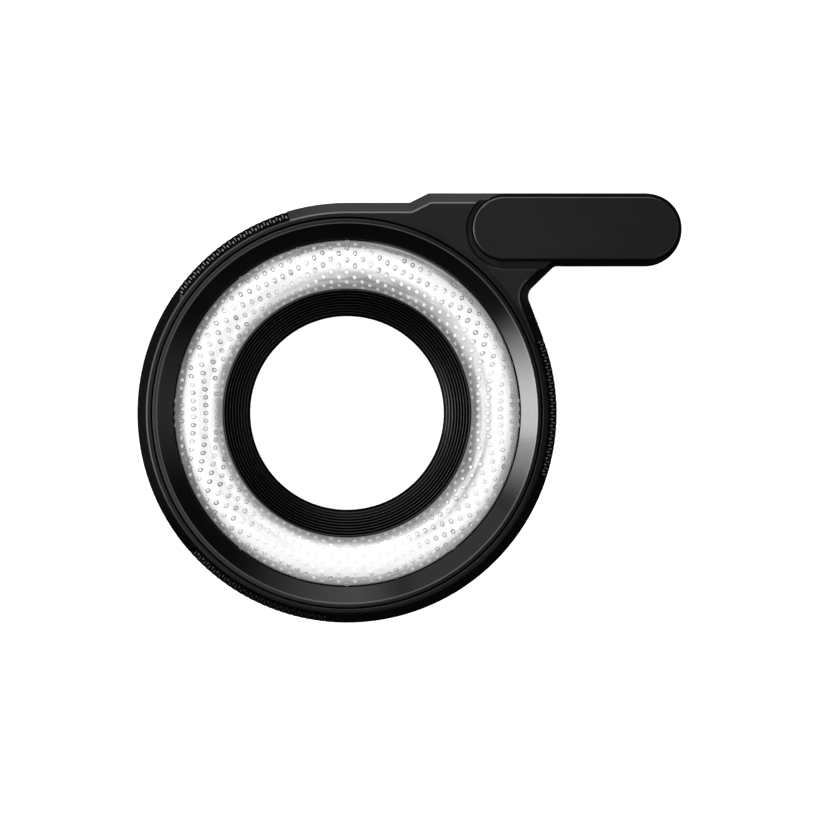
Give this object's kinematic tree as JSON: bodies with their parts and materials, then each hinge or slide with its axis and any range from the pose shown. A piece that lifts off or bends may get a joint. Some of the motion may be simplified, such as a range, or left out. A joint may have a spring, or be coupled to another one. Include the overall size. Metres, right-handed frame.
{
  "type": "led light guide",
  "caption": "Ring light guide for a compact camera: an arm carries the camera's own LED light to a domed clear ring round the lens, and a knurled lock ring holds it on the lens bayonet.",
  "frame": {"origin": "centre of the camera bayonet, on the back face of the bayonet plate", "axes": "+Z along the lens axis towards the subject, +X along the arm towards the hood's far end, +Y towards the arm's upper side"},
  "size_m": [0.0687, 0.0542, 0.0118],
  "materials": {
    "shell_plastic": "fine satin",
    "pad_plastic": "fine satin",
    "bezel_gloss": "gloss",
    "baffle_matt": "matt",
    "guide_clear": "clear, with a domed front over a white ring",
    "reflector_white": "matt",
    "window_clear": "clear",
    "grip_plastic": "satin",
    "inner_plastic": "matt",
    "washer_plastic": "matt",
    "plate_steel": "turned and plated",
    "screw_steel": "plated",
    "spring_steel": "bright",
    "felt": "felt",
    "foam": "closed-cell foam"
  },
  "bodies": {
    "housing": {"front_shell": "shell_plastic", "hood_cap": "pad_plastic", "bezel_ring": "bezel_gloss", "light_guide": "guide_clear", "lens_baffle": "baffle_matt", "ring_reflector": "reflector_white", "pipe_reflector": "reflector_white", "inlet_lens": "window_clear", "hood_base": "shell_plastic", "inlet_gasket": "foam", "hood_screws": "screw_steel", "rear_cover": "inner_plastic", "cover_screws": "screw_steel", "light_seal": "felt", "ring_retainer": "inner_plastic", "retainer_screws": "screw_steel", "slip_washer": "washer_plastic", "stop_key": "spring_steel", "detent_spring": "spring_steel"},
    "lock_ring": {"lock_ring": "grip_plastic", "bayonet_plate": "plate_steel", "bayonet_screws": "screw_steel"}
  },
  "joints": [
    {"name": "lock_ring_turn", "type": "hinge", "parent": "housing", "child": "lock_ring", "pos_m": [0, 0, 0], "axis": [0, 0, 1], "range_deg": [-30, 0], "deforming": ["detent_spring"]}
  ]
}
